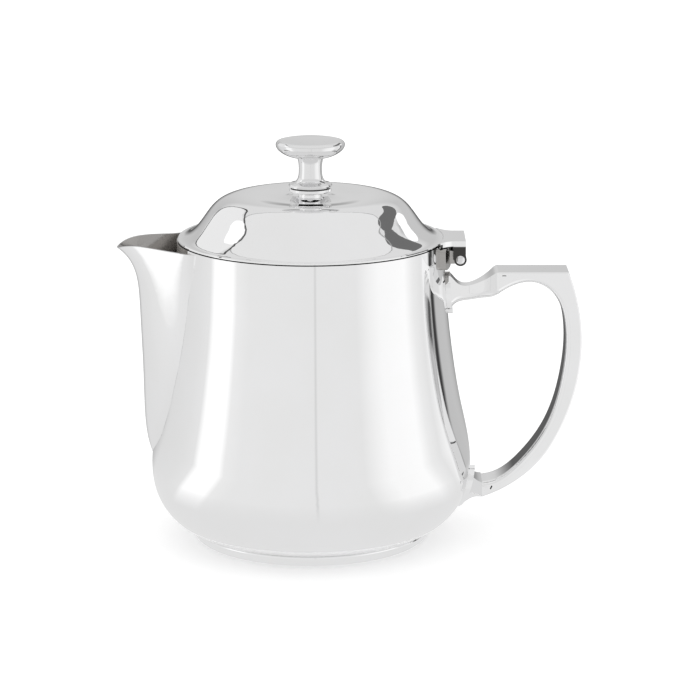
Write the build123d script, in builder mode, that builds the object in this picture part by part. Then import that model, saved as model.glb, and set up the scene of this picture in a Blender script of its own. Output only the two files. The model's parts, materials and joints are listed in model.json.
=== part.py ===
from build123d import *
import os

# A polished steel teapot of about 0.7 litre: a bellied pot on a foot ring, a pouring beak over a
# strainer, a hollow C-shaped handle, and a domed lid that swings back on a pinned hinge.
# Millimetres, +Z up. The origin is the middle of the face that the foot ring stands on.
# The handle and the hinge are at +X and the spout at -X, so Y = 0 is the plane of symmetry.

# ---- driving dimensions ----
CUT = 40.0                             # depth of cuts that run right through what they meet
POT_SHEET = 1.2
POT_FLOOR = 4.2                        # underside of the floor, which sits on the foot ring
FOOT_RADIUS = 40.9
FOOT_WALL = 2.6
FOOT_ROUNDING = 0.8
BELLY = (54.55, 26.5)                  # radius and height of the widest place
RIM = (45.1, 103.7)                    # radius and height of the pot's mouth
POT_OUTLINE = [(40.6, POT_FLOOR), (46.7, 7.6), (52.5, 15.2), BELLY,
               (50.9, 48.3), (48.5, 62.1), (46.4, 79.35), RIM]

HOLE_RADIUS = 1.5                      # strainer
HOLE_ROWS = 9
HOLE_PITCH = 5.5
HOLES_IN_LONG_ROW = 5                  # every other row has one hole less
FIRST_HOLE_HEIGHT = 43.0

SPOUT_SHEET = 1.1
SPOUT_BACK = -34.0                     # plane inside the pot that closes the beak's sections
LIP_TIP = (-66.0, 100.6)

LID_SHEET = 1.0
LID_RADIUS = 44.9
LID_EDGE = RIM[1] + 0.35               # underside of the brim, just clear of the pot's rim
CROWN = 118.75                         # flat seat of the knob
CROWN_RADIUS = 6.0
COLLAR_DEPTH = 3.1
COLLAR_SHEET = 0.8
COLLAR_TOP_RADIUS = 42.6
COLLAR_FOOT_RADIUS = 41.6

KNOB_BORE = 2.0                        # thread of the knob's screw
SCREW_CLEARANCE = 0.2
BOSS_RADIUS = 7.2
BOSS_TOP = 121.2
INSULATOR_THICKNESS = 0.5
INSULATOR_RADIUS = 6.6
KNOB_BASE = BOSS_TOP + INSULATOR_THICKNESS
KNOB_TOP = 137.7
WASHER_THICKNESS = 1.0
WASHER_RADIUS = 5.0
SCREW_HEAD_HEIGHT = 2.2
SCREW_HEAD_RADIUS = 3.7
SCREW_HEAD_ROUNDING = 0.9
SLOT_WIDTH = 1.0
SLOT_DEPTH = 1.1
SCREW_REACH = 129.0                    # how far the screw runs up inside the knob

HINGE_X = 50.3                         # axis of the hinge pin, along Y
HINGE_Z = 98.3
PIN_RADIUS = 1.2
PIN_FIT = 0.05                         # radial clearance of the ears on the pin
PIN_HEAD_RADIUS = 1.45
PIN_HEAD_HEIGHT = 0.6
PIN_END_PLAY = 0.1
KNUCKLE_RADIUS = 2.1
KNUCKLE_HALF_WIDTH = 5.9               # bracket's knuckle between the two ears
EAR_GAP = 0.2
LEAF_HALF_WIDTH = 9.2
LEAF_END = 52.1
LEAF_TOP = 104.7
LEAF_THICKNESS = 1.75
EAR_START = 47.9
BRACKET_HALF_WIDTH = 13.4
BRACKET_SHEET = 2.0
BRACKET_DEPTH = 8.0
BRACKET_CORNER = 1.5
BRACKET_SPAN = (95.4, 102.6)           # lowest and highest point of the bracket's plate

HANDLE_WIDTH = 13.0
HANDLE_SHEET = 1.2
HANDLE_TOP = 93.4
HANDLE_HEEL = 86.9                     # sharp outer corner of the top bar
HANDLE_UPPER_END = 63.4                # where the hollow handle meets the upper mount
HANDLE_LOWER_END = 58.5                # where it meets the lower mount
GRIP_ROUNDING = 2.0                    # finger side of the handle
EDGE_ROUNDING = 0.5
VENT_LENGTH = 1.3
VENT_WIDTH = 0.45
LEAF_MOUNT_SHEET = 1.7                 # pointed flanges that the handle is brazed on by

UNIT_SPEED = (1, 1)                    # splines leave and reach their end tangents at an even pace

os.makedirs("parts", exist_ok=True)


def save(piece, name):
    """Label one finished piece and write it."""
    piece.part.label = name
    export_step(piece.part, f"parts/{name}.step")


def inset_point(line, place, depth):
    """The point a given depth to the left of an outline, which runs up the pot or in over the lid."""
    along = line.tangent_at(place)
    return line.position_at(place) + Vector(-along.Y, along.X) * depth


def pot_side(depth):
    """The pot's outline from foot to rim, moved in by depth."""
    side = Spline(*POT_OUTLINE, mode=Mode.PRIVATE if depth else Mode.ADD)
    if not depth:
        return side
    return Spline(*[inset_point(side, step / 9, depth) for step in range(10)])


def turned_form(depth):
    """The filled shape of the pot, its side moved in by depth."""
    with BuildPart() as form:
        with BuildSketch(Plane.XZ):
            with BuildLine():
                side = pot_side(depth)
                Polyline(side @ 0, (0, (side @ 0).Y), (0, (side @ 1).Y), side @ 1)
            make_face()
        revolve(axis=Axis.Z)
    return form.part


pot_form = turned_form(0)

# ---- pot: body shell, with the strainer pierced behind the spout ----
with BuildPart() as body_shell:
    with BuildSketch(Plane.XZ):
        with BuildLine():
            outside = pot_side(0)
            inside = pot_side(POT_SHEET)
            Polyline(outside @ 0, (0, POT_FLOOR), (0, (inside @ 0).Y), inside @ 0)
            Line(outside @ 1, inside @ 1)
        make_face()
    revolve(axis=Axis.Z)
    with BuildSketch(Plane.YZ.offset(SPOUT_BACK)):
        for row in range(HOLE_ROWS):
            with Locations((0, FIRST_HOLE_HEIGHT + row * HOLE_PITCH)):
                with GridLocations(HOLE_PITCH, 1, HOLES_IN_LONG_ROW - row % 2, 1):
                    Circle(HOLE_RADIUS)
    extrude(amount=-CUT, mode=Mode.SUBTRACT)
save(body_shell, "body_shell")

# ---- pot: foot ring ----
with BuildPart() as foot_ring:
    with BuildSketch():
        Circle(FOOT_RADIUS)
        Circle(FOOT_RADIUS - FOOT_WALL, mode=Mode.SUBTRACT)
    extrude(amount=POT_FLOOR)
    fillet(foot_ring.edges().filter_by(GeomType.CIRCLE).sort_by(SortBy.RADIUS)[-2:], FOOT_ROUNDING)
save(foot_ring, "foot_ring")

# ---- pot: spout, an open beak of rounded V sections ----
# place and half-width where the side meets the pot, reach of the nose, flare of the root (0 to 1)
SPOUT_FOOT = 27.0                      # lowest section, wholly inside the pot
SPOUT_STEP = 11.0                      # the sections are evenly spaced, so that the loft runs smoothly
SPOUT_SECTIONS = [
    (-49.5, 10.5, -53.2, 0.0),
    (-50.7, 15.7, -56.4, 0.0),
    (-47.3, 18.2, -57.0, 0.0),
    (-44.7, 19.4, -57.2, 0.0),
    (-42.8, 20.3, -57.6, 0.0),
    (-41.0, 21.2, -58.0, 0.1),
    (-39.8, 22.1, -59.5, 0.4),
    (-38.7, 23.2, -71.0, 1.0),
]
# control points of half a section: (place from the pot to the nose, part of the half-width)
PLAIN_SIDE = [(0.38, 0.67), (1.0, 0.35)]
FLARED_SIDE = [(0.185, 0.54), (1.0, 0.39)]
SIDE_OVERLAP = 2.0                     # how far each side runs on into the pot before it is trimmed


def beak(sheet):
    """The filled beak, its sides and nose moved in by the sheet's thickness."""
    with BuildPart() as form:
        for level, (root_x, half_width, nose, flare) in enumerate(SPOUT_SECTIONS):
            root = Vector(root_x, half_width - 1.3 * sheet)
            tip = Vector(nose + sheet, 0)
            controls = [Vector(root.X + (tip.X - root.X) * (place + (flared_place - place) * flare),
                               root.Y * (width + (flared_width - width) * flare))
                        for (place, width), (flared_place, flared_width) in zip(PLAIN_SIDE, FLARED_SIDE)]
            start = root + (root - controls[0]).normalized() * SIDE_OVERLAP
            with BuildSketch(Plane.XY.offset(SPOUT_FOOT + level * SPOUT_STEP)):
                with BuildLine():
                    side = Bezier(start, *controls, tip)
                    mirror(side, about=Plane.XZ)
                    back = SPOUT_BACK + 2 * sheet
                    Polyline(start, (back, start.Y), (back, -start.Y), (start.X, -start.Y))
                make_face()
        loft()
    return form.part


with BuildPart() as spout:
    add(beak(0))
    add(beak(SPOUT_SHEET), mode=Mode.SUBTRACT)
    add(pot_form, mode=Mode.SUBTRACT)
    with BuildSketch(Plane.XZ):        # the mouth dips behind the lip, which droops at its tip
        with BuildLine():
            mouth_line = Spline((-35, 104.2), (-45, 102.4), (-57, 103.0), (-62.5, 102.3), LIP_TIP,
                                (-70, 96.5))
            Polyline(mouth_line @ 1, (-80, 120), (-35, 120), mouth_line @ 0)
        make_face()
    extrude(amount=CUT, both=True, mode=Mode.SUBTRACT)
    with BuildSketch(Plane.XY.offset(RIM[1])):
        Circle(RIM[0])
    extrude(amount=CUT, mode=Mode.SUBTRACT)
save(spout, "spout")

# ---- pot: hinge bracket, a curved plate brazed under the rim with a knuckle for the pin ----
with BuildPart() as hinge_bracket:
    with BuildSketch(Plane.YZ.offset(HINGE_X - BRACKET_DEPTH)):
        with Locations((0, sum(BRACKET_SPAN) / 2)):
            RectangleRounded(2 * BRACKET_HALF_WIDTH, BRACKET_SPAN[1] - BRACKET_SPAN[0], BRACKET_CORNER)
    extrude(amount=BRACKET_DEPTH)
    add(turned_form(-BRACKET_SHEET), mode=Mode.INTERSECT)
    with BuildSketch(Plane.XZ):
        with BuildLine():
            Polyline((44, 96.2), (HINGE_X, HINGE_Z - KNUCKLE_RADIUS + 0.2),
                     (HINGE_X, HINGE_Z + KNUCKLE_RADIUS - 0.2), (44, 101.4), close=True)
        make_face()
        with Locations((HINGE_X, HINGE_Z)):
            Circle(KNUCKLE_RADIUS - 0.2)
    extrude(amount=KNUCKLE_HALF_WIDTH, both=True)
    add(pot_form, mode=Mode.SUBTRACT)
    with BuildSketch(Plane.XZ):
        with Locations((HINGE_X, HINGE_Z)):
            Circle(PIN_RADIUS)
    extrude(amount=CUT, both=True, mode=Mode.SUBTRACT)
save(hinge_bracket, "hinge_bracket")

# ---- pot: hinge pin with a domed head at each end ----
with BuildPart() as hinge_pin:
    head_start = LEAF_HALF_WIDTH + PIN_END_PLAY
    with BuildSketch(Plane.XZ):
        with Locations((HINGE_X, HINGE_Z)):
            Circle(PIN_RADIUS)
    extrude(amount=head_start, both=True)
    for side in (-1, 1):
        with BuildSketch(Plane(origin=(HINGE_X, 0, HINGE_Z), x_dir=(1, 0, 0), z_dir=(0, 0, 1))):
            with BuildLine():
                Polyline((PIN_HEAD_RADIUS, side * head_start), (0, side * head_start),
                         (0, side * (head_start + PIN_HEAD_HEIGHT)))
                TangentArc((0, side * (head_start + PIN_HEAD_HEIGHT)), (PIN_HEAD_RADIUS, side * head_start),
                           tangent=(1, 0))
            make_face()
        revolve(axis=Axis((HINGE_X, 0, HINGE_Z), (0, 1, 0)))
save(hinge_pin, "hinge_pin")

# ---- handle: two pressed halves with a cavity between them ----
with BuildSketch(Plane.XZ) as handle_side:
    with BuildLine():
        back = Spline((HANDLE_HEEL, HANDLE_TOP), (90.0, 83.4), (91.7, 68.5), (90.9, 58.2), (86.2, 41.6),
                      (79.0, 28.9), (69.5, 20.2), (HANDLE_LOWER_END, 14.8))
        Line((HANDLE_UPPER_END, HANDLE_TOP), back @ 0)
        grip = Spline((HANDLE_UPPER_END, 85.7), (68.5, 88.7), (74.8, 89.8), (81.5, 86.4), (85.9, 75.0),
                      (85.3, 58.0), (79.8, 39.4), (71.3, 27.4), (63.5, 21.2), (HANDLE_LOWER_END, 19.9))
        Line(grip @ 0, (HANDLE_UPPER_END, HANDLE_TOP))
        Line(grip @ 1, back @ 1)
    make_face()

FINGER_GAP = (70.0, 0, 55.0)


def reaches_heel(edge):
    """Whether an edge runs to the outer corner of the handle's top bar."""
    box = edge.bounding_box()
    return box.max.X > HANDLE_HEEL - 0.1 and box.max.Z > HANDLE_TOP - 0.1


with BuildPart() as handle_solid:      # finger side well rounded, outer edges eased
    extrude(handle_side.sketch.face(), amount=HANDLE_WIDTH / 2, both=True)
    curves = handle_solid.faces().filter_by(Axis.Y).edges().filter_by(GeomType.BSPLINE)
    fillet(curves.sort_by_distance(FINGER_GAP)[:2], GRIP_ROUNDING)
    fillet(handle_solid.faces().filter_by(Axis.Y).edges().filter_by(reaches_heel), EDGE_ROUNDING)

CAVITY_START = 0.02                    # part of each side left solid at each end
CAVITY_PLACES = [CAVITY_START + (1 - 2 * CAVITY_START) * step / 12 for step in range(13)]
with BuildPart() as handle_cavity:
    with BuildSketch(Plane.XZ):
        with BuildLine():
            back_wall = Spline(*[inset_point(back, place, -HANDLE_SHEET) for place in CAVITY_PLACES])
            grip_wall = Spline(*[inset_point(grip, place, HANDLE_SHEET) for place in CAVITY_PLACES])
            Line(back_wall @ 1, grip_wall @ 1)
            Polyline(back_wall @ 0, ((back_wall @ 0).X, HANDLE_TOP - HANDLE_SHEET),
                     ((grip_wall @ 0).X, HANDLE_TOP - HANDLE_SHEET), grip_wall @ 0)
        make_face()
    extrude(amount=HANDLE_WIDTH / 2 - HANDLE_SHEET, both=True)

for name, side in (("handle_near_half", -1), ("handle_far_half", 1)):
    with BuildPart() as handle_half:
        add(handle_solid.part)
        add(handle_cavity.part, mode=Mode.SUBTRACT)
        with Locations((HANDLE_HEEL, -side * HANDLE_WIDTH / 2, RIM[1] / 2)):
            Box(2 * HANDLE_HEEL, HANDLE_WIDTH, 2 * RIM[1], mode=Mode.SUBTRACT)
        if side < 0:                   # two slits vent the cavity, one near each end
            for vent_x, vent_z, turn in ((65.2, 92.2, 0), (61.6, 18.2, 65)):
                with BuildSketch(Plane.XZ.offset(HANDLE_WIDTH / 2 - 2)):
                    with Locations((vent_x, vent_z)):
                        Rectangle(VENT_LENGTH, VENT_WIDTH, rotation=turn)
                extrude(amount=4, mode=Mode.SUBTRACT)
    save(handle_half, name)


# x, lowest and highest point, width, rounding above, rounding below
UPPER_MOUNT_SECTIONS = [
    (46.6, 79.6, 91.6, 7.0, 3.3, 3.3),
    (48.6, 81.2, 90.0, 6.4, 3.0, 3.0),
    (50.4, 82.2, 88.5, 6.0, 2.9, 2.9),
    (53.0, 82.7, 88.1, 5.6, 2.6, 2.6),
    (56.0, 83.2, 89.0, 6.4, 2.6, 2.8),
    (59.5, 83.9, 90.9, 9.0, 1.8, 2.8),
    (62.0, 84.8, 92.8, 11.6, 0.9, 2.4),
    (HANDLE_UPPER_END, 85.7, HANDLE_TOP, HANDLE_WIDTH, 0.3, GRIP_ROUNDING),
]
LOWER_MOUNT_SECTIONS = [
    (52.0, 10.8, 23.6, 6.6, 3.0, 3.0),
    (54.4, 12.6, 22.2, 7.6, 3.0, 3.0),
    (56.0, 13.7, 20.9, 9.2, 3.0, 2.4),
    (57.4, 14.4, 20.2, 11.2, 2.5, 1.4),
    (HANDLE_LOWER_END, 14.8, 19.9, HANDLE_WIDTH, GRIP_ROUNDING, EDGE_ROUNDING),
]


def handle_mount(sections, low, high, width):
    """A cast mount: a pointed flange on the pot's side that swells into the handle's end."""
    with BuildPart() as flange:
        middle = (low + high) / 2
        with BuildSketch(Plane.YZ.offset(RIM[0] - 5)):
            with BuildLine():
                ThreePointArc((0, low), (width / 2, middle), (0, high))
                ThreePointArc((0, high), (-width / 2, middle), (0, low))
            make_face()
        extrude(amount=20)
        add(turned_form(-LEAF_MOUNT_SHEET), mode=Mode.INTERSECT)
    with BuildPart() as mount:
        for x, bottom, top, across, top_rounding, low_rounding in sections:
            with BuildSketch(Plane.YZ.offset(x)):
                with Locations((0, (bottom + top) / 2)):
                    Rectangle(across, top - bottom)
                corners = vertices().group_by(Axis.Y)
                fillet(corners[0], low_rounding)
                fillet(corners[-1], top_rounding)
        loft()
        add(flange.part)
        add(pot_form, mode=Mode.SUBTRACT)
    return mount


save(handle_mount(UPPER_MOUNT_SECTIONS, 78.0, 92.4, 10.0), "handle_upper_mount")
save(handle_mount(LOWER_MOUNT_SECTIONS, 9.6, 24.4, 10.0), "handle_lower_mount")

# ---- lid: domed shell with a flat brim ----
with BuildPart() as lid_shell:
    with BuildSketch(Plane.XZ):
        with BuildLine():
            outside = Spline((LID_RADIUS - 0.3, LID_EDGE + 0.5), (42.2, 104.95), (39.6, 106.7), (36.0, 111.1),
                             (31.5, 116.35), (27.5, 118.2), (20.0, CROWN - 0.15), (CROWN_RADIUS, CROWN))
            inside = Spline(*[inset_point(outside, step / 16, LID_SHEET) for step in range(2, 17)])
            Polyline(outside @ 0, (LID_RADIUS, LID_EDGE + 0.25), (LID_RADIUS, LID_EDGE),
                     ((inside @ 0).X, LID_EDGE), inside @ 0)
            Polyline(outside @ 1, (0, CROWN), (0, CROWN - LID_SHEET), inside @ 1)
        make_face()
    revolve(axis=Axis.Z)
    with BuildSketch(Plane.XY.offset(CROWN - LID_SHEET)):
        Circle(KNOB_BORE + SCREW_CLEARANCE)
    extrude(amount=LID_SHEET, mode=Mode.SUBTRACT)
save(lid_shell, "lid_shell")

# ---- lid: collar that centres it in the pot's mouth ----
with BuildPart() as lid_collar:
    with BuildSketch(Plane.XZ):
        with BuildLine():
            Polyline((COLLAR_TOP_RADIUS, LID_EDGE), (COLLAR_FOOT_RADIUS, LID_EDGE - COLLAR_DEPTH),
                     (COLLAR_FOOT_RADIUS - COLLAR_SHEET, LID_EDGE - COLLAR_DEPTH),
                     (COLLAR_TOP_RADIUS - COLLAR_SHEET, LID_EDGE), close=True)
        make_face()
    revolve(axis=Axis.Z)
save(lid_collar, "lid_collar")

# ---- lid: hinge leaf, a tongue on the brim with two ears that hang down to the pin ----
with BuildPart() as lid_hinge_leaf:
    with BuildSketch(Plane.XY.offset(LEAF_TOP - LEAF_THICKNESS)):
        with BuildLine():
            flare = Spline((42.2, 15), (44.6, 11.4), (48.5, LEAF_HALF_WIDTH), tangents=[(0.5, -1), (1, 0)],
                           tangent_scalars=UNIT_SPEED)
            Polyline(flare @ 1, (LEAF_END, LEAF_HALF_WIDTH), (LEAF_END, 0), (42.2, 0), flare @ 0)
        make_face()
        mirror(about=Plane.XZ)
    extrude(amount=LEAF_THICKNESS)
    for side in (-1, 1):
        inner_face = KNUCKLE_HALF_WIDTH + EAR_GAP
        with BuildSketch(Plane.XZ.offset(side * (LEAF_HALF_WIDTH + inner_face) / 2)):
            with BuildLine():
                Polyline((EAR_START, HINGE_Z), (EAR_START, LEAF_TOP - 0.5), (LEAF_END, LEAF_TOP - 0.5),
                         (LEAF_END, HINGE_Z), close=True)
            make_face()
            with Locations((HINGE_X, HINGE_Z)):
                Circle(KNUCKLE_RADIUS)
        extrude(amount=(LEAF_HALF_WIDTH - inner_face) / 2, both=True)
    with BuildSketch(Plane.XY.offset(LID_EDGE - 10)):
        Circle(RIM[0] + 0.7)
    extrude(amount=10, mode=Mode.SUBTRACT)
    with BuildSketch(Plane.XY.offset(LID_EDGE)):
        Circle(LID_RADIUS)
    extrude(amount=10, mode=Mode.SUBTRACT)
    with BuildSketch(Plane.XZ):
        with Locations((HINGE_X, HINGE_Z)):
            Circle(PIN_RADIUS + PIN_FIT)
    extrude(amount=CUT, both=True, mode=Mode.SUBTRACT)
save(lid_hinge_leaf, "lid_hinge_leaf")


# ---- lid: knob boss, insulating washer, knob, and the screw that holds them from below ----
with BuildPart() as knob_boss:
    with BuildSketch(Plane.XZ):
        with BuildLine():
            waist = Spline((4.0, CROWN + 0.5), (4.4, CROWN + 0.9), (BOSS_RADIUS - 0.3, BOSS_TOP - 1.1))
            Polyline(waist @ 1, (BOSS_RADIUS, BOSS_TOP - 0.8), (BOSS_RADIUS, BOSS_TOP),
                     (KNOB_BORE + SCREW_CLEARANCE, BOSS_TOP), (KNOB_BORE + SCREW_CLEARANCE, CROWN),
                     (4.0, CROWN), waist @ 0)
        make_face()
    revolve(axis=Axis.Z)
save(knob_boss, "knob_boss")

with BuildPart() as knob_insulator:
    with BuildSketch(Plane.XY.offset(BOSS_TOP)):
        Circle(INSULATOR_RADIUS)
        Circle(KNOB_BORE + SCREW_CLEARANCE, mode=Mode.SUBTRACT)
    extrude(amount=INSULATOR_THICKNESS)
save(knob_insulator, "knob_insulator")

with BuildPart() as knob:
    with BuildSketch(Plane.XZ):
        with BuildLine():
            stem = Spline((BOSS_RADIUS - 0.1, KNOB_BASE + 1.0), (4.9, 123.6), (3.9, 126.8), (4.4, 131.5),
                          tangents=[(-1, 0.15), (0.3, 1)], tangent_scalars=UNIT_SPEED)
            bowl = Spline(stem @ 1, (9.3, 133.1), (11.6, 136.0), tangents=[(1, 0.15), (0, 1)],
                          tangent_scalars=UNIT_SPEED)
            shoulder = Spline(bowl @ 1, (11.2, 136.9), (10.3, 137.35), tangents=[(0, 1), (-1, 0.2)],
                              tangent_scalars=UNIT_SPEED)
            TangentArc((0, KNOB_TOP), shoulder @ 1, tangent=(1, 0))
            Polyline((0, KNOB_TOP), (0, SCREW_REACH + 0.5), (KNOB_BORE, SCREW_REACH + 0.5),
                     (KNOB_BORE, KNOB_BASE), (BOSS_RADIUS, KNOB_BASE), (BOSS_RADIUS + 0.1, KNOB_BASE + 0.5),
                     stem @ 0)
        make_face()
    revolve(axis=Axis.Z)
save(knob, "knob")

under_crown = CROWN - LID_SHEET
with BuildPart() as knob_screw_washer:
    with BuildSketch(Plane.XY.offset(under_crown - WASHER_THICKNESS)):
        Circle(WASHER_RADIUS)
        Circle(KNOB_BORE + SCREW_CLEARANCE, mode=Mode.SUBTRACT)
    extrude(amount=WASHER_THICKNESS)
save(knob_screw_washer, "knob_screw_washer")

with BuildPart() as knob_screw:
    head_face = under_crown - WASHER_THICKNESS
    with BuildSketch(Plane.XY.offset(head_face)):
        Circle(SCREW_HEAD_RADIUS)
    extrude(amount=-SCREW_HEAD_HEIGHT)
    fillet(knob_screw.edges().sort_by(Axis.Z)[0], SCREW_HEAD_ROUNDING)
    with BuildSketch(Plane.XY.offset(head_face - SCREW_HEAD_HEIGHT)):
        Rectangle(2 * SCREW_HEAD_RADIUS, SLOT_WIDTH)
    extrude(amount=SLOT_DEPTH, mode=Mode.SUBTRACT)
    with BuildSketch(Plane.XY.offset(head_face)):
        Circle(KNOB_BORE)
    extrude(amount=SCREW_REACH - head_face)
save(knob_screw, "knob_screw")
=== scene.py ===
import json
import math

import bpy
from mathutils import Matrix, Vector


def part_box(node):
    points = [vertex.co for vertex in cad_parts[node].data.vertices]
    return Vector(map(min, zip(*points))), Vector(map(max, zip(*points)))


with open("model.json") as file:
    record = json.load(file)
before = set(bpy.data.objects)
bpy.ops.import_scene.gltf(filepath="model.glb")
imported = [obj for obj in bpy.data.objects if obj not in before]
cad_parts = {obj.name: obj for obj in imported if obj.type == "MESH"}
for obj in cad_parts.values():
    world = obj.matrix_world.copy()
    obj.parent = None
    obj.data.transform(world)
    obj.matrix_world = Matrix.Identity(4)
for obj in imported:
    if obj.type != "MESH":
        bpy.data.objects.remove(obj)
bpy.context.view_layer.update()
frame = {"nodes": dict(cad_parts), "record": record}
nodes = frame["nodes"]
scene = bpy.context.scene

# ---- node helpers; every size is in metres, every noise scale in features per metre ----


def new_material(name, shader_kind="ShaderNodeBsdfPrincipled"):
    """A material with one shader on its output: (material, tree, shader)."""
    mat = bpy.data.materials.new(name)
    mat.use_nodes = True
    tree = mat.node_tree
    tree.nodes.clear()
    out = tree.nodes.new("ShaderNodeOutputMaterial")
    shader = tree.nodes.new(shader_kind)
    tree.links.new(shader.outputs[0], out.inputs["Surface"])
    return mat, tree, shader


def feed(tree, value, socket):
    """Link another node's socket to an input, or set the input to a value."""
    if hasattr(value, "links"):
        tree.links.new(value, socket)
    else:
        socket.default_value = value


def object_place(tree):
    """The place on the surface, in the object's own space."""
    return tree.nodes.new("ShaderNodeTexCoord").outputs["Object"]


def noise(tree, source, scale, detail, stretch=None):
    """A noise texture, optionally stretched along an axis."""
    tex = tree.nodes.new("ShaderNodeTexNoise")
    tex.inputs["Scale"].default_value = scale
    tex.inputs["Detail"].default_value = detail
    if stretch:
        place = tree.nodes.new("ShaderNodeMapping")
        place.inputs["Scale"].default_value = stretch
        tree.links.new(source, place.inputs["Vector"])
        source = place.outputs["Vector"]
    tree.links.new(source, tex.inputs["Vector"])
    return tex.outputs["Fac"]


def ramp(tree, value, band, result=(0.0, 1.0)):
    """Map a value's band (from, to) to the result's (from, to)."""
    node = tree.nodes.new("ShaderNodeMapRange")
    node.inputs["From Min"].default_value = band[0]
    node.inputs["From Max"].default_value = band[1]
    node.inputs["To Min"].default_value = result[0]
    node.inputs["To Max"].default_value = result[1]
    tree.links.new(value, node.inputs["Value"])
    return node.outputs["Result"]


def maths(tree, operation, first, second=0.0):
    """A maths node; each operand is a socket or a number."""
    node = tree.nodes.new("ShaderNodeMath")
    node.operation = operation
    feed(tree, first, node.inputs[0])
    feed(tree, second, node.inputs[1])
    return node.outputs[0]


def parts_of(tree, vector):
    """The three components of a vector socket."""
    node = tree.nodes.new("ShaderNodeSeparateXYZ")
    tree.links.new(vector, node.inputs[0])
    return node.outputs[0], node.outputs[1], node.outputs[2]


def mix_colours(tree, factor, first, second, blend_type="MIX"):
    """Mix two colours, each a socket or four numbers."""
    node = tree.nodes.new("ShaderNodeMix")
    node.data_type = "RGBA"
    node.blend_type = blend_type
    feed(tree, factor, node.inputs["Factor"])
    feed(tree, first, node.inputs["A"])
    feed(tree, second, node.inputs["B"])
    return node.outputs["Result"]


def bump(tree, height, distance, under=None):
    """A bump of a given height, over another one if there is one."""
    node = tree.nodes.new("ShaderNodeBump")
    node.inputs["Strength"].default_value = 1.0
    node.inputs["Distance"].default_value = distance
    tree.links.new(height, node.inputs["Height"])
    if under:
        tree.links.new(under, node.inputs["Normal"])
    return node.outputs["Normal"]


def grey(tone):
    """A neutral colour of one tone."""
    return (tone, tone, tone, 1.0)


# ---- where shade is painted into a finish's colour, and that finish is made rougher ----
FACING_SOFTNESS = 0.0004
BEAK_AXIS_X = -0.045                   # an upright line inside the beak
COVERED_FRONT_X = -0.036               # the patch lies on the spout's side of this
COVERED_BOTTOM_Z = 0.034
COVERED_HALF_WIDTH = 0.0065            # half the patch's width, carried down to the floor
COVERED_WIDENING = 0.13                # what that half width gains per metre of height
TONGUE_THICKNESS = 0.00175
EAR_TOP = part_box("lid_hinge_leaf")[1][2] - TONGUE_THICKNESS
EAR_FADE = 0.0003                      # the ears' painted shade is full this far below their top


def facing_in(tree, geometry, axis_x):
    """1 where a surface faces the upright line at (axis_x, 0), 0 where it faces away."""
    px, py, _ = parts_of(tree, geometry.outputs["Position"])
    nx, ny, _ = parts_of(tree, geometry.outputs["Normal"])
    along = maths(tree, "MULTIPLY", maths(tree, "SUBTRACT", px, axis_x), nx)
    across = maths(tree, "MULTIPLY", py, ny)
    return ramp(tree, maths(tree, "ADD", along, across), (-FACING_SOFTNESS, 0.0), (1.0, 0.0))


def shade_spout(tree):
    """Mask of painted shade: the inside of the beak."""
    return facing_in(tree, tree.nodes.new("ShaderNodeNewGeometry"), BEAK_AXIS_X)


def shade_shell(tree):
    """Mask of painted shade: the inside of the shell, and the patch of its outside that the beak covers.
    """
    geometry = tree.nodes.new("ShaderNodeNewGeometry")
    px, py, pz = parts_of(tree, geometry.outputs["Position"])
    half = maths(tree, "ADD", maths(tree, "MULTIPLY", pz, COVERED_WIDENING), COVERED_HALF_WIDTH)
    covered = maths(tree, "LESS_THAN", maths(tree, "ABSOLUTE", py), half)
    covered = maths(tree, "MULTIPLY", covered, maths(tree, "LESS_THAN", px, COVERED_FRONT_X))
    covered = maths(tree, "MULTIPLY", covered, maths(tree, "GREATER_THAN", pz, COVERED_BOTTOM_Z))
    return maths(tree, "MAXIMUM", facing_in(tree, geometry, 0.0), covered)


def shade_leaf(tree):
    """Mask of painted shade: the ears under the hinge leaf's tongue."""
    height = parts_of(tree, object_place(tree))[2]
    return ramp(tree, height, (EAR_TOP - EAR_FADE, EAR_TOP), (1.0, 0.0))


# ---- procedural materials ----
STAIN_SCALE = 60.0
HAIRLINE_SCALE = 2200.0
WAVE_SCALE = 45.0
STAIN_TINT = (0.985, 0.985, 0.98)      # a stain's colour, as a share of the clean steel's
STAIN_TONE_BAND = (0.35, 0.65)
STAIN_ROUGH_BAND = (0.35, 0.7)
HAIRLINE_BAND = (0.62, 0.72)
# the colour of painted shade, as a share of the dark tone given to steel()
PAINTED_SHADE_TINT = (1.0, 0.97, 0.94)
DULL_ROUGHNESS = 0.18                  # roughness added where shade is painted


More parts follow.
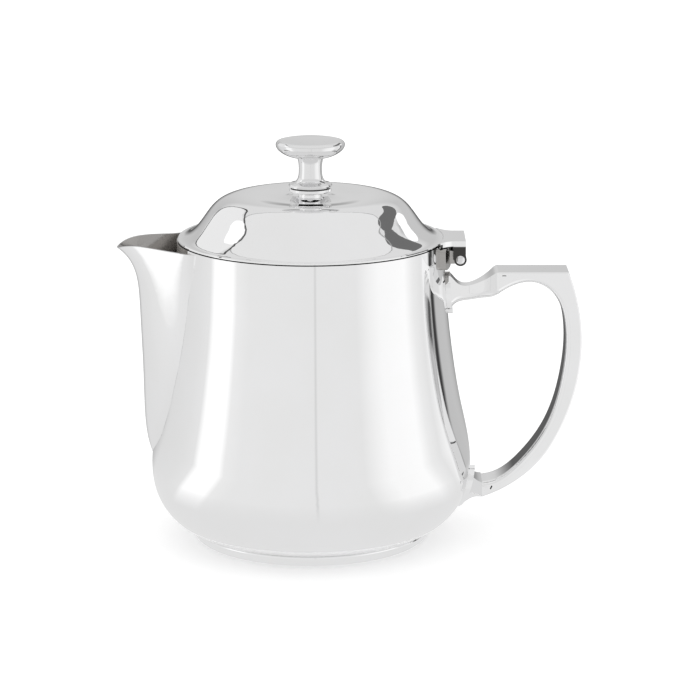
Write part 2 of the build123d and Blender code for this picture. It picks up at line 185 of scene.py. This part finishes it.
def steel(name, tone, rough, wear, waviness, scratch, grain=(1.0, 1.0, 1.0), shade=None, dark=0.4):
    """Stainless steel: soft stains in tone and roughness, hairline scratches, faint waviness.

    Where the shade mask is 1, shade is painted: the tone is darkened and the finish made rougher.
    """
    mat, tree, shader = new_material(name)
    coord = object_place(tree)
    stains = noise(tree, coord, STAIN_SCALE, 4.0)
    hairlines = noise(tree, coord, HAIRLINE_SCALE, 2.0, grain)
    waves = noise(tree, coord, WAVE_SCALE, 1.0)
    stained = tuple(part * tint for part, tint in zip(tone, STAIN_TINT))
    colour = mix_colours(tree, ramp(tree, stains, STAIN_TONE_BAND), (*stained, 1.0), (*tone, 1.0))
    roughness = maths(tree, "ADD", ramp(tree, stains, STAIN_ROUGH_BAND, (rough, rough + wear)),
                      ramp(tree, hairlines, HAIRLINE_BAND, (0.0, wear)))
    if shade:
        mask = shade(tree)
        # painted shade: the colour is darkened where the mask is 1
        painted_shade_colour = tuple(dark * tint for tint in PAINTED_SHADE_TINT)
        colour = mix_colours(tree, mask, colour, (*painted_shade_colour, 1.0))
        roughness = maths(tree, "ADD", roughness, maths(tree, "MULTIPLY", mask, DULL_ROUGHNESS))
    tree.links.new(colour, shader.inputs["Base Color"])
    tree.links.new(roughness, shader.inputs["Roughness"])
    shader.inputs["Metallic"].default_value = 1.0
    relief = bump(tree, hairlines, scratch, under=bump(tree, waves, waviness))
    tree.links.new(relief, shader.inputs["Normal"])
    return mat


BLACK_TONES = ((0.012, 0.012, 0.013, 1.0), (0.03, 0.03, 0.03, 1.0))
BLACK_GRAIN_SCALE = 1500.0
BLACK_GRAIN_DEPTH = 0.00002


def insulator_black(name):
    """Black heat-resistant washer with a dusty, slightly uneven surface."""
    mat, tree, shader = new_material(name)
    grain = noise(tree, object_place(tree), BLACK_GRAIN_SCALE, 3.0)
    tree.links.new(mix_colours(tree, grain, *BLACK_TONES), shader.inputs["Base Color"])
    tree.links.new(ramp(tree, grain, (0.3, 0.7), (0.45, 0.6)), shader.inputs["Roughness"])
    tree.links.new(bump(tree, grain, BLACK_GRAIN_DEPTH), shader.inputs["Normal"])
    return mat


UPRIGHT_GRAIN = (1.0, 1.0, 0.15)
POLISH = {"tone": (0.93, 0.93, 0.935), "rough": 0.02, "wear": 0.015, "waviness": 0.000004,
          "scratch": 0.00000003, "grain": UPRIGHT_GRAIN}
KNOB_POLISH = {"tone": (0.86, 0.86, 0.865), "rough": 0.025, "wear": 0.015, "waviness": 0.000003,
               "scratch": 0.00000003, "grain": UPRIGHT_GRAIN}
# the bracket's dark tone is painted shade under the hinge leaf's tongue
BRACKET_PAINTED_SHADE_SKIN = {"tone": (0.42, 0.41, 0.40), "rough": 0.12, "wear": 0.05, "waviness": 0.000004,
                "scratch": 0.0000002}
PIN_SKIN = {"tone": (0.78, 0.78, 0.79), "rough": 0.08, "wear": 0.05, "waviness": 0.000001,
            "scratch": 0.0000002, "grain": (1.0, 0.1, 1.0)}
SCREW_SKIN = {"tone": (0.62, 0.62, 0.63), "rough": 0.25, "wear": 0.12, "waviness": 0.000004,
              "scratch": 0.000002}
FINISH = {
    "polished_steel": steel("polished_steel", **POLISH),
    "pin_steel": steel("pin_steel", **PIN_SKIN),
    "screw_steel": steel("screw_steel", **SCREW_SKIN),
    "insulator": insulator_black("insulator"),
}
# the shell, beak and leaf below get painted shade from their masks
OWN_FINISH = {
    "body_shell": steel("polished_shell_painted_shade", **POLISH, shade=shade_shell, dark=0.5),
    "spout": steel("polished_beak_painted_shade", **POLISH, shade=shade_spout, dark=0.42),
    "knob": steel("polished_knob", **KNOB_POLISH),
    "lid_hinge_leaf": steel("polished_leaf_painted_shade", **POLISH, shade=shade_leaf, dark=0.06),
    # painted shade: the bracket's darkened tone
    "hinge_bracket": steel("painted_shade_bracket", **BRACKET_PAINTED_SHADE_SKIN),
}
slot_of = {part["node"]: part["material_slot"] for part in frame["record"]["subparts"]}
for node_name, obj in nodes.items():
    for place in obj.material_slots:
        place.material = OWN_FINISH.get(node_name) or FINISH[slot_of[node_name]]

# ---- light tent: grey walls, roof and floor around the pot, seen only as reflections ----
# Its tones and the hung panels' outlines were first worked out from the reflections in the
# photograph, then adjusted.
TENT_RADIUS = 0.75
TENT_FLOOR_Z = 0.0004
TENT_PROFILE = [(radius, TENT_FLOOR_Z) for radius in (0.043, 0.075, 0.1, 0.2, 0.35, 0.5, TENT_RADIUS)]
TENT_PROFILE += [(TENT_RADIUS, 0.25), (TENT_RADIUS, 0.46), (0.62, 0.75), (0.35, 0.95), (0.001, 1.02)]
TENT_STEPS = 60
# azimuth from the camera's side in degrees, positive to its right, and grey tone
WALL_TONES = [(-180, 0.68), (-165, 0.58), (-150, 0.55), (-138, 0.62), (-128, 0.76), (-102, 0.8),
              (-90, 0.84), (-85, 1.1), (-66, 1.1), (-62, 0.9), (-50, 0.85), (3.2, 0.84), (3.7, 0.7),
              (4.3, 0.7), (4.8, 0.84), (38, 0.84), (49, 0.95), (58, 1.02), (84, 1.06), (94, 0.9),
              (104, 0.83), (113, 0.95), (117, 0.95), (119, 0.05), (123, 0.05), (126, 0.55), (140, 0.6),
              (165, 0.58), (180, 0.68)]
# how far the low part of the tent behind the pot is darkened, by azimuth
LOW_SHADE = [(-180, 0.16), (-166, 0.2), (-157, 0.7), (-145, 0.92), (-125, 1.0), (125, 1.0), (145, 0.92),
             (157, 0.7), (166, 0.2), (180, 0.16)]
NEAR_FLOOR_TONE = 0.8
ROOF_TONE = 0.76
LOW_BAND = (0.08, 0.2)                 # heights between which the low shade ends
NEAR_FLOOR_BAND = (0.075, 0.13)        # radii between which the floor takes the walls' tones
ROOF_BAND = (0.38, 0.5)                # heights between which the walls turn into the roof


def tone_ramp(tree, turn, stops):
    """A colour ramp of grey tones over the azimuth, from -180 to 180 degrees."""
    node = tree.nodes.new("ShaderNodeValToRGB")
    points = node.color_ramp.elements
    while len(points) < len(stops):
        points.new(0.5)
    for point, (azimuth, tone) in zip(points, stops):
        point.position = (azimuth + 180) / 360
        point.color = grey(tone)
    tree.links.new(turn, node.inputs["Fac"])
    return node.outputs["Color"]


def tent_cloth():
    """The tent's glow: tones by azimuth on the walls, one tone by the pot and one on the roof."""
    mat, tree, lamp = new_material("tent_cloth", "ShaderNodeEmission")
    tx, ty, tz = parts_of(tree, object_place(tree))
    turn = maths(tree, "ARCTAN2", tx, maths(tree, "MULTIPLY", ty, -1.0))
    turn = maths(tree, "ADD", maths(tree, "DIVIDE", turn, 2 * math.pi), 0.5)
    reach = maths(tree, "ADD", maths(tree, "MULTIPLY", tx, tx), maths(tree, "MULTIPLY", ty, ty))
    reach = maths(tree, "SQRT", reach)
    low_shade = mix_colours(tree, ramp(tree, tz, LOW_BAND), tone_ramp(tree, turn, LOW_SHADE), grey(1.0))
    walls = mix_colours(tree, 1.0, tone_ramp(tree, turn, WALL_TONES), low_shade, "MULTIPLY")
    sides = mix_colours(tree, ramp(tree, reach, NEAR_FLOOR_BAND), grey(NEAR_FLOOR_TONE), walls)
    whole = mix_colours(tree, ramp(tree, tz, ROOF_BAND), sides, grey(ROOF_TONE))
    tree.links.new(whole, lamp.inputs["Color"])
    return mat


def glow(name, tone):
    """An emitting material of one tone."""
    mat, _, lamp = new_material(name, "ShaderNodeEmission")
    lamp.inputs["Color"].default_value = grey(tone)
    return mat


def stage_mesh(name, verts, faces, mat, reflections_only=True):
    """A stage object, shown only in reflections unless it is the floor."""
    mesh = bpy.data.meshes.new(name)
    mesh.from_pydata(verts, [], faces)
    mesh.materials.append(mat)
    obj = bpy.data.objects.new(name, mesh)
    scene.collection.objects.link(obj)
    if reflections_only:
        obj.visible_camera = False
        obj.visible_diffuse = False
        obj.visible_shadow = False


tent_verts = []
tent_faces = []
for step in range(TENT_STEPS):
    around = 2 * math.pi * step / TENT_STEPS
    tent_verts += [(r * math.sin(around), -r * math.cos(around), z) for r, z in TENT_PROFILE]
    here = step * len(TENT_PROFILE)
    after = (step + 1) % TENT_STEPS * len(TENT_PROFILE)
    for rung in range(len(TENT_PROFILE) - 1):
        tent_faces.append((here + rung, here + rung + 1, after + rung + 1, after + rung))
stage_mesh("tent", tent_verts, tent_faces, tent_cloth())

# ---- panels hung in the tent, each outlined by directions (azimuth, elevation) from the lid ----
LID_HUB = (0.0, 0.0, 0.11)
CURVE_STEPS = 8


def towards(azimuth, elevation, distance):
    """The point that lies in a direction from the lid."""
    az = math.radians(azimuth)
    el = math.radians(elevation)
    return (LID_HUB[0] + distance * math.cos(el) * math.sin(az),
            LID_HUB[1] - distance * math.cos(el) * math.cos(az),
            LID_HUB[2] + distance * math.sin(el))


def smooth_loop(points, closed):
    """Points along a Catmull-Rom curve through the given ones."""
    count = len(points)
    result = []
    for place in range(count if closed else count - 1):
        around = [place + shift for shift in (-1, 0, 1, 2)]
        quad = [points[i % count] if closed else points[min(max(i, 0), count - 1)] for i in around]
        for step in range(CURVE_STEPS):
            t = step / CURVE_STEPS
            result.append(tuple(0.5 * (2 * b + (c - a) * t + (2 * a - 5 * b + 4 * c - d) * t * t
                                       + (3 * b - a - 3 * c + d) * t ** 3)
                                for a, b, c, d in zip(*quad)))
    if not closed:
        result.append(points[-1])
    return result


def dark_edge(name, directions, width, tone, closed, distance=0.6):
    """A strip along a line of directions, such as the edge of a hung panel."""
    line = smooth_loop([towards(az, el, distance) for az, el in directions], closed)
    verts = []
    count = len(line)
    for place, point in enumerate(line):
        before = line[place - 1] if closed or place else point
        after = line[(place + 1) % count] if closed or place < count - 1 else point
        run = [b - a for a, b in zip(before, after)]
        out = [p - e for p, e in zip(point, LID_HUB)]
        side = (run[1] * out[2] - run[2] * out[1], run[2] * out[0] - run[0] * out[2],
                run[0] * out[1] - run[1] * out[0])
        size = math.sqrt(sum(c * c for c in side)) or 1.0
        verts += [tuple(p + sign * width / 2 * c / size for p, c in zip(point, side)) for sign in (-1, 1)]
    pairs = [(i, (i + 1) % count) for i in range(count if closed else count - 1)]
    faces = [(2 * i, 2 * i + 1, 2 * j + 1, 2 * j) for i, j in pairs]
    stage_mesh(name, verts, faces, glow(name + "_tone", tone))


def hung_panel(name, directions, middle, tone, distance):
    """A filled panel bounded by a smooth loop of directions, fanned from its middle."""
    rim = smooth_loop([towards(az, el, distance) for az, el in directions], True)
    verts = [towards(*middle, distance)] + rim
    faces = [(0, i, i % len(rim) + 1) for i in range(1, len(verts))]
    stage_mesh(name, verts, faces, glow(name + "_tone", tone))


ROOF_PANEL = [(-112, 46), (-132, 50), (-171, 47), (179, 46), (160, 49), (125, 48), (106, 41), (94, 38),
              (78, 41), (35, 46), (-18, 46), (-60, 43), (-84, 40), (-97, 42)]
LEFT_WINDOW = [(-138, 8), (-146, 18), (-158, 30), (-152, 40), (-126, 45), (-98, 42), (-86, 36), (-92, 20),
               (-115, 8)]
LEFT_LAMP = [(-84, 35), (-87, 40), (-97, 43), (-107, 42), (-112, 37), (-107, 31), (-97, 28), (-88, 30)]
LEFT_WINDOW_EDGE = [(-136, 4), (-144, 17), (-159, 30), (-153, 41), (-128, 47), (-100, 43.5), (-85, 40)]
RIGHT_CARD = [(163, 29), (152, 36), (138, 41), (120, 44), (104, 43), (97, 37), (106, 31), (122, 29),
              (148, 27)]
RIGHT_LAMP = [(140, 25), (130, 28), (121, 24), (124, 17), (137, 18)]
hung_panel("roof_panel", ROOF_PANEL, middle=(0, 89), tone=0.83, distance=0.66)
dark_edge("roof_panel_edge", ROOF_PANEL, width=0.009, tone=0.42, closed=True)
hung_panel("left_window", LEFT_WINDOW, middle=(-118, 28), tone=0.88, distance=0.64)
hung_panel("left_lamp", LEFT_LAMP, middle=(-98, 36), tone=1.2, distance=0.62)
dark_edge("left_window_edge", LEFT_WINDOW_EDGE, width=0.013, tone=0.1, closed=False)
hung_panel("right_card", RIGHT_CARD, middle=(124, 36), tone=0.16, distance=0.62)
hung_panel("right_lamp", RIGHT_LAMP, middle=(130, 22), tone=1.2, distance=0.615)

# ---- floor, world, camera ----
FLOOR_HALF = 6.0
FLOOR_TONE = 0.93
FLOOR_GLOW = 0.25
PAPER_GRAIN_SCALE = 900.0
CAMERA_PLACE = (0.0133, -0.9678, 0.3015)
CAMERA_PITCH = 13.73                   # degrees below level
LENS = 150.4                           # millimetres, on the sensor below
SENSOR_WIDTH = 36.0

floor_mat, floor_tree, floor_shader = new_material("floor_paper")
paper = noise(floor_tree, object_place(floor_tree), PAPER_GRAIN_SCALE, 3.0)
floor_tree.links.new(ramp(floor_tree, paper, (0.3, 0.7), (0.8, 0.9)), floor_shader.inputs["Roughness"])
floor_shader.inputs["Base Color"].default_value = grey(FLOOR_TONE)
floor_shader.inputs["Specular IOR Level"].default_value = 0.0
floor_shader.inputs["Emission Color"].default_value = grey(1.0)
floor_shader.inputs["Emission Strength"].default_value = FLOOR_GLOW
floor_corners = [(-FLOOR_HALF, -FLOOR_HALF, 0), (FLOOR_HALF, -FLOOR_HALF, 0), (FLOOR_HALF, FLOOR_HALF, 0),
                 (-FLOOR_HALF, FLOOR_HALF, 0)]
stage_mesh("floor", floor_corners, [(0, 1, 2, 3)], floor_mat, reflections_only=False)

world = bpy.data.worlds.new("studio")
scene.world = world
world.use_nodes = True
background = world.node_tree.nodes["Background"]
background.inputs["Color"].default_value = grey(1.0)
background.inputs["Strength"].default_value = 1.0

camera_data = bpy.data.cameras.new("camera")
camera = bpy.data.objects.new("camera", camera_data)
scene.collection.objects.link(camera)
scene.camera = camera
camera.location = CAMERA_PLACE
camera.rotation_euler = (math.radians(90 - CAMERA_PITCH), 0, 0)
camera_data.sensor_width = SENSOR_WIDTH
camera_data.lens = LENS
camera_data.dof.use_dof = False
scene.view_settings.view_transform = "Standard"
